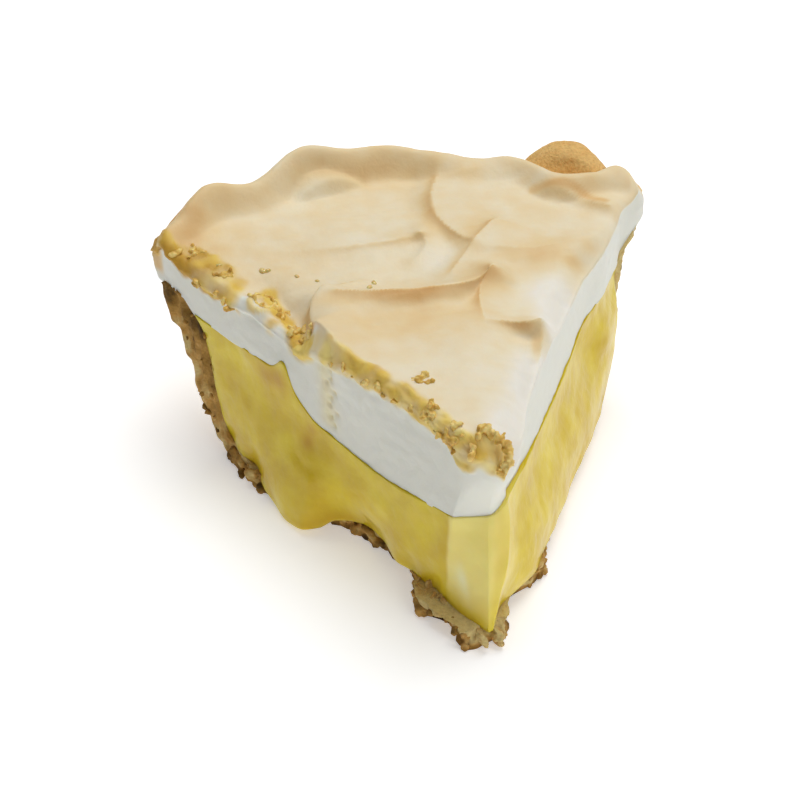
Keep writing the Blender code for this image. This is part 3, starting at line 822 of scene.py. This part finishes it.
# The steep sides of the folds get painted shade; the high folds also brown a little more.
toast_and_shade += 0.25 * steep * step(fold, 0, 1.5) + 0.04 * step(fold, 1, 4)
# In front of the crescent the top is darker: partly browning, partly painted shade.
toast_and_shade += 0.12 * bell(np.hypot((x + 4) / 1.6, y - 54), 0, 9) + 0.12 * bell(degrees, -24, 7) * near_edge
# Patches of the top are painted paler or darker; the dark one inside the hook is painted shade.
for cx, cy, wide, less in TOAST_AND_SHADE_PATCHES:
    toast_and_shade -= less * bell(np.hypot(x - cx, y - cy), 0, wide)
# A painted line of shade along the crease by the back fold.
_, off_crease, _, _ = nearest_on_crest(x, y, *CREASE)
toast_and_shade += 0.2 * (1 - step(off_crease + 0.4 * lumps(flat, 3, 44), 0.3, 1.7))
toast_and_shade -= 0.30 * (1 - step(radius, 58, 70)) * (1 - step(from_right, 0, 11))
paint(mesh, "toast_and_shade", np.clip(toast_and_shade, 0, 1))
print("toast from", round(float(toast_and_shade.min()), 2), "to", round(float(toast_and_shade.max()), 2))

# %% Caramel edge of the skin
# The skin's edge on the left cut is caramel, 2 to 5 mm deep, and it goes on round the tip. Near the
# corner it is wide and lumpy on top too. Where the skin tore, beside the groove, the foam is bare.
torn = step(radius, 54, 58) * (1 - step(radius, 85, 89)) + 1.2 * lumps(flat, 4, 35) * bell(radius, 70, 18)
torn = np.clip(torn, 0, 1)
depth = mix(3.6, 2.8, step(radius, 58, 66)) + 1.2 * lumps(on_pie(radius, 0, 0), 7, 27)
depth += 0.9 * lumps(points, 2.5, 30)
wide = mix(3.0, 8.0, step(radius, 87, 92) * (1 - step(radius, 108, 113))) + 1.3 * lumps(flat, 4, 36)
from_outline = np.where(across < 0.8, np.minimum(from_left, from_tip), from_left)
band = (1 - step(top - height, depth - 0.8, depth + 0.8)) * (1 - step(from_outline, wide - 1.4, wide + 0.6))
band *= np.clip(0.85 + 0.7 * lumps(points, 3.5, 31), 0, 1) * (1 - torn)
skin *= 1 - torn * (1 - step(from_left + 1.5 * lumps(flat, 3, 37), 1.5, 4.5))
_, off_streak, _, _ = nearest_on_crest(x, y, *STREAK)
streak = (1 - step(off_streak + 0.9 * lumps(flat, 3, 32), 1.2, 3.0)) * (1 - step(top - height, 2, 5))
off_flap = np.hypot((x + 1.5) / 1.5, y - 10.8) + 0.8 * lumps(flat, 2.5, 42)
flap = (1 - step(off_flap, 2.2, 3.4)) * step(up, 0.86, 0.95)
damp = 0.4 * bell(radius, 56, 2.8) * (across < 0.02) * step(height, 30, 34)
on_loop = 0.7 * step(loop, 0.4, 0.9) * step(up, 0.9, 1)
caramel = np.maximum.reduce((band, streak, 0.85 * flap, 0.55 * opened, damp, on_loop))
paint(mesh, "caramel", np.clip(caramel, 0, 1))
behind = np.where(across > 0.9, 114.5, edge - 1.6)
outer_skin = step(radius, behind - 1.8, behind) * step(up, 0.1, 0.4)
paint(mesh, "skin", np.maximum(skin, outer_skin))
burnt = 0.5 + 0.35 * lumps(points, 4, 38) + 0.15 * (1 - step(from_outline, 0.5, 3)) * step(radius, 84, 90)
burnt += 0.22 * step(radius, 90, 102)
burnt -= 0.12 * (1 - step(radius, 16, 24)) + 0.3 * bell(radius, 56, 6)
paint(mesh, "burnt", np.clip(burnt, 0, 1))
billows = np.abs(lumps(points, 2.4, 34)) + 0.4 * lumps(points, 1.2, 39)
points += read(mesh, "normal") * (0.9 * caramel * billows)[:, None]
meringue_points = points
write(mesh, (points + PIE_CENTRE) * MM)
meringue_mesh = mesh
print("caramel on", int((caramel > 0.5).sum()), "corner points")

# %% [markdown]
# ## Meringue: whipped inside, toasted outside
# Whipped egg white is a very fine foam, so it is white, matt and soft to the light. Its skin dries
# and browns in the oven, most on what stands up. The painted numbers say how much, and they also
# carry painted shade on the steep sides of folds, in creases and at the rim's foot. The ramp holds
# the real shades, from cream to hazel. The real bubbles are a few tenths of a millimetre, so they
# are drawn at one millimetre, to show at all.

# %% Toasted meringue
BROWN_BLOTCH, FOAM_BUBBLE = 7.15, 1.11
whipped, tree, out = new_material("toasted_meringue")
place = add(tree, "ShaderNodeTexCoord").outputs["Object"]
# Browning, with painted shade on the steep folds, the creases and the rim's foot.
toast_and_shade = add(tree, "ShaderNodeAttribute", attribute_name="toast_and_shade").outputs["Fac"]
caramel = add(tree, "ShaderNodeAttribute", attribute_name="caramel").outputs["Fac"]
skin = add(tree, "ShaderNodeAttribute", attribute_name="skin").outputs["Fac"]
blotches = add(tree, "ShaderNodeTexNoise",
               {"Vector": place, "Scale": noise_scale(BROWN_BLOTCH), "Detail": 5}).outputs["Fac"]
uneven = add(tree, "ShaderNodeMath", {0: blotches, 1: 0.16, 2: -0.08}, operation="MULTIPLY_ADD")
browned_and_shaded = add(tree, "ShaderNodeMath", {0: toast_and_shade, 1: uneven.outputs[0]}, operation="ADD")
hue = add(tree, "ShaderNodeValToRGB", {"Fac": browned_and_shaded.outputs[0]},
          stops=[(0.0, colour("#efeade")), (0.25, colour("#ecdfc0")), (0.42, colour("#e8cf9f")),
                 (0.62, colour("#dcb276")), (0.82, colour("#c4914f")), (1.0, colour("#8f6228"))])
foam_white = add(tree, "ShaderNodeMix", {0: skin, 6: colour("#e9e9de"), 7: hue.outputs[0]},
                 data_type="RGBA")
burnt = add(tree, "ShaderNodeAttribute", attribute_name="burnt").outputs["Fac"]
sugar = add(tree, "ShaderNodeValToRGB", {"Fac": burnt},
            stops=[(0.15, colour("#f2de88")), (0.5, colour("#e4c25a")), (0.9, colour("#c49838"))])
shade = add(tree, "ShaderNodeMix", {0: caramel, 6: foam_white.outputs[2], 7: sugar.outputs[0]},
            data_type="RGBA")
bubbles = add(tree, "ShaderNodeTexNoise",
              {"Vector": place, "Scale": noise_scale(FOAM_BUBBLE), "Detail": 3}).outputs["Fac"]
bump = add(tree, "ShaderNodeBump", {"Strength": 0.25, "Distance": 0.0004, "Height": bubbles})
shader = add(tree, "ShaderNodeBsdfPrincipled",
             {"Base Color": shade.outputs[2], "Roughness": 0.55, "IOR": 1.4, "Specular IOR Level": 0.35,
              "Subsurface Weight": 0.25, "Subsurface Radius": (1.0, 0.8, 0.55),
              "Subsurface Scale": 0.003, "Normal": bump.outputs[0]})
finish_material(tree, out, shader)
show("meringue_top", meringue_mesh, whipped, "toasted_meringue", "meringue")

# %% [markdown]
# ## Crumbs, beads and flakes
# Sugar weeps out of meringue and browns into beads, the torn skin leaves crumbs along the cut, and
# the broken crust drops bits of pastry. Each kind is one piece: balls that are squashed and turned at
# random, grown together by a voxel remesh, then roughened.

# %% Balls that grow together
chance = random.Random(7)
BALL_CUTS = 2


def clump(name, balls, voxel, roughness, squash=(1.25, 0.95, 0.8)):
    """A closed lumpy mesh from overlapping balls, given by place and radius in mm."""
    bm = bmesh.new()
    for x, y, z, size in balls:
        turn = Euler([chance.uniform(0, math.tau) for _ in range(3)]).to_matrix().to_4x4()
        scale = Matrix.Diagonal([s * chance.uniform(0.85, 1.15) for s in squash] + [1])
        bmesh.ops.create_icosphere(bm, subdivisions=BALL_CUTS, radius=size,
                                   matrix=Matrix.Translation((x, y, z)) @ turn @ scale)
    mesh = bpy.data.meshes.new(name)
    bm.to_mesh(mesh)
    bm.free()
    rough = bpy.data.objects.new("rough", mesh)
    bpy.context.scene.collection.objects.link(rough)
    merge = rough.modifiers.new("merge", "REMESH")
    merge.mode, merge.voxel_size = "VOXEL", voxel
    merged = bpy.data.meshes.new_from_object(rough.evaluated_get(bpy.context.evaluated_depsgraph_get()))
    bpy.data.objects.remove(rough)
    points = read(merged)
    points += read(merged, "normal") * (roughness * lumps(points, 0.9, 40, 3))[:, None]
    write(merged, (points + PIE_CENTRE) * MM)
    return merged


def nearest(points, keys, wanted):
    """The point whose keys are nearest to the wanted ones."""
    return points[sum((key - value) ** 2 for key, value in zip(keys, wanted)).argmin()]


print("each ball starts with", 20 * 4 ** (BALL_CUTS - 1), "faces")

# %% Points that crumbs can lie on
on_left = across < TINY
left_points, left_keys = meringue_points[on_left], (radius[on_left], (top - height)[on_left])
on_top = up > 1 - TINY
top_points = meringue_points[on_top]
top_keys = top_points[:, 0], top_points[:, 1]
print("points on the left cut:", len(left_points), "and on the top:", len(top_points))

# %% Crumbs of toasted skin
SUNK = np.array((0, 0, 0.3))
ALONG_CUT = 46
# Each heap has a place on the plan, a width, and a number of crumbs.
CRUMB_HEAPS = ((-12, 30, 2.6, 14), (-35.5, 71, 2.0, 8), (-34, 63, 2.2, 10), (-32, 56, 1.8, 8),
               (-11.5, 21, 2.2, 12), (-8, 14, 2.0, 10), (-52, 94, 2.6, 9), (-46, 84, 1.6, 6))
RING_X, RING_Y, RING_RADIUS = -39, 74.5, 2.7
crumbs = []


def strew(points, keys, wanted, size):
    """One crumb, sunk by a third in the surface at the point nearest to where it is wanted."""
    crumbs.append((*(nearest(points, keys, wanted) - size * SUNK), size))


for _ in range(ALONG_CUT):
    r, below = chance.uniform(12, 105), abs(chance.gauss(0.4, 1.2))
    if not 54 < r < 88:
        strew(left_points, left_keys, (r, below), chance.uniform(0.5, 1.0))
for cx, cy, wide, count in CRUMB_HEAPS:
    for _ in range(count):
        wanted = chance.gauss(cx, wide / 2), chance.gauss(cy, wide / 2)
        strew(top_points, top_keys, wanted, chance.uniform(0.6, 1.3))
for turn in np.linspace(0, math.tau, 20):
    wanted = (RING_X + RING_RADIUS * math.cos(turn) + chance.gauss(0, 0.3),
              RING_Y + RING_RADIUS * math.sin(turn))
    strew(top_points, top_keys, wanted, chance.uniform(0.6, 0.95))
crumb_mesh = clump("crumbs", crumbs, voxel=0.28, roughness=0.36, squash=(1.5, 0.9, 0.5))
print("crumbs of skin:", len(crumbs))

# %% Curl of skin at the tip
# The curl is a strip of skin that rolled up; it is laid ball by ball along these points.
CURL = ((-5.8, 8.5, 51.5), (-4.4, 10.5, 52.8), (-2.8, 13, 54.2), (-1.2, 12.8, 54.8), (0.6, 10.4, 54.2),
        (2.2, 8.6, 53.2), (3.0, 7.6, 51.4), (2.6, 7.2, 49.4), (1.4, 6.8, 47.6), (0.6, 6.6, 46.4))
curl = []
for start, end in zip(CURL, CURL[1:]):
    for share in (0, 0.5):
        spot = mix(np.array(start), np.array(end), share) + [chance.gauss(0, 0.25) for _ in range(3)]
        curl.append((*spot, chance.uniform(0.8, 1.3)))
curl_mesh = clump("curl", curl, voxel=0.28, roughness=0.36, squash=(1.6, 1.1, 0.6))
print("balls in the curl:", len(curl))

# %% [markdown]
# ## Toasted sugar
# Where the skin is thick with sugar it bakes to a golden caramel: darker in the hollows, straw-coloured
# on the lumps, with a slight shine.

# %% Toasted sugar
SUGAR_PATCH, SUGAR_GRAIN = 2.38, 0.667
toffee, tree, out = new_material("toasted_sugar_crust")
place = add(tree, "ShaderNodeTexCoord").outputs["Object"]
patches = add(tree, "ShaderNodeTexNoise",
              {"Vector": place, "Scale": noise_scale(SUGAR_PATCH), "Detail": 4}).outputs["Fac"]
hue = add(tree, "ShaderNodeValToRGB", {"Fac": patches},
          stops=[(0.34, colour("#c0953c")), (0.47, colour("#dfb756")), (0.62, colour("#f0d684"))])
fine = add(tree, "ShaderNodeTexNoise",
           {"Vector": place, "Scale": noise_scale(SUGAR_GRAIN), "Detail": 2}).outputs["Fac"]
bump = add(tree, "ShaderNodeBump", {"Strength": 0.4, "Distance": 0.0003, "Height": fine})
shader = add(tree, "ShaderNodeBsdfPrincipled",
             {"Base Color": hue.outputs[0], "Roughness": 0.45, "IOR": 1.45, "Subsurface Weight": 0.12,
              "Subsurface Scale": 0.0015, "Normal": bump.outputs[0]})
finish_material(tree, out, shader)
show("toasted_crumbs", crumb_mesh, toffee, "toasted_meringue")
show("toasted_curl", curl_mesh, toffee, "toasted_meringue")

# %% [markdown]
# ## Beads of syrup
# Sugar that weeps out of the foam stands on it in clear golden beads of one or two millimetres. They
# are smooth and wet, so they get a coat and almost no roughness.

# %% Beads of syrup
BEAD_PLACES = ((-37, 84.5, 1.3), (-35.6, 84, 0.9), (-29.5, 80.5, 0.7), (-13, 72.3, 0.9),
               (-14.5, 70.2, 1.0), (-47, 88, 0.8), (-25, 78, 0.6))
beads = []
for cx, cy, size in BEAD_PLACES:
    bead_x, bead_y, bead_z = nearest(top_points, top_keys, (cx, cy))
    beads.append((bead_x, bead_y, bead_z - 0.45 * size, size))
bead_mesh = clump("beads", beads, voxel=0.22, roughness=0.0, squash=(1.2, 1.1, 0.75))
print("beads:", len(beads))

# %% Sugar syrup
SYRUP_CLOUD = 1.67
syrup, tree, out = new_material("sugar_syrup")
place = add(tree, "ShaderNodeTexCoord").outputs["Object"]
depths = add(tree, "ShaderNodeTexNoise", {"Vector": place, "Scale": noise_scale(SYRUP_CLOUD)}).outputs["Fac"]
hue = add(tree, "ShaderNodeValToRGB", {"Fac": depths},
          stops=[(0.35, colour("#ccb264")), (0.65, colour("#e2cc88"))])
shader = add(tree, "ShaderNodeBsdfPrincipled",
             {"Base Color": hue.outputs[0], "Roughness": 0.12, "IOR": 1.45, "Subsurface Weight": 0.5,
              "Subsurface Scale": 0.0015, "Coat Weight": 0.5, "Coat Roughness": 0.05})
finish_material(tree, out, shader)
show("syrup_beads", bead_mesh, syrup, "toasted_meringue")

# %% [markdown]
# ## Bits of pastry
# The crust broke along both cuts and shed crumbs at its foot and on the broken wall, and thin flakes
# under the tip. They have the crust's own finish, with a number for how far each was baked.

# %% Crumbs of pastry
LEAST_HIGH = 0.75
bits = []
for low, high, count, most in ((78, 93, 34, 1.5), (34, 56, 34, 1.4), (2, 28, 40, 1.3)):
    for _ in range(count):
        spot = nearest(crust_left, crust_left_keys, (chance.uniform(low, high), chance.uniform(0, 4.5)))
        bits.append((*spot, chance.uniform(0.5, most)))
for _ in range(26):
    spot = nearest(crust_right, crust_right_keys, (chance.gauss(27, 5), chance.uniform(0, 4.5)))
    bits.append((*spot, chance.uniform(0.5, 1.2)))
for _ in range(26):
    spot = nearest(crust_left, crust_left_keys, (chance.uniform(94, 108), chance.uniform(5, 40)))
    bits.append((*spot, chance.uniform(0.4, 0.9)))
# None goes under the floor.
bits = [(bx, by, max(bz, size * LEAST_HIGH), size) for bx, by, bz, size in bits]
bit_mesh = clump("bits", bits, voxel=0.4, roughness=0.3)
paint(bit_mesh, "bake_and_shade", np.clip(0.55 + 0.5 * lumps(read(bit_mesh) / MM, 2.5, 41), 0, 1))
show("crust_crumbs", bit_mesh, pastry, "baked_pastry")

# %% Flakes of pastry
# Each heap has a place, a width, and a number of flakes.
FLAKE_HEAPS = ((-11.5, 17.5, 4.2, 2.6, 12), (-9.0, 14.0, 4.6, 1.4, 7), (-14, 21, 3.0, 1.8, 8),
               (-4.0, 2.6, 2.6, 1.8, 10), (0.5, 2.4, 2.4, 1.5, 8), (15.5, 27, 2.6, 1.8, 10))
flakes = []
for cx, cy, cz, wide, count in FLAKE_HEAPS:
    for _ in range(count):
        spot = [chance.gauss(middle, wide / 2) for middle in (cx, cy)]
        flakes.append((*spot, max(cz + chance.gauss(0, 0.6), 1.0), chance.uniform(0.7, 1.5)))
flake_mesh = clump("flakes", flakes, voxel=0.25, roughness=0.2, squash=(1.5, 1.1, 0.32))
paint(flake_mesh, "bake_and_shade", np.clip(0.22 + 0.35 * lumps(read(flake_mesh) / MM, 2.5, 43), 0, 1))
show("pastry_flakes", flake_mesh, pastry, "baked_pastry")
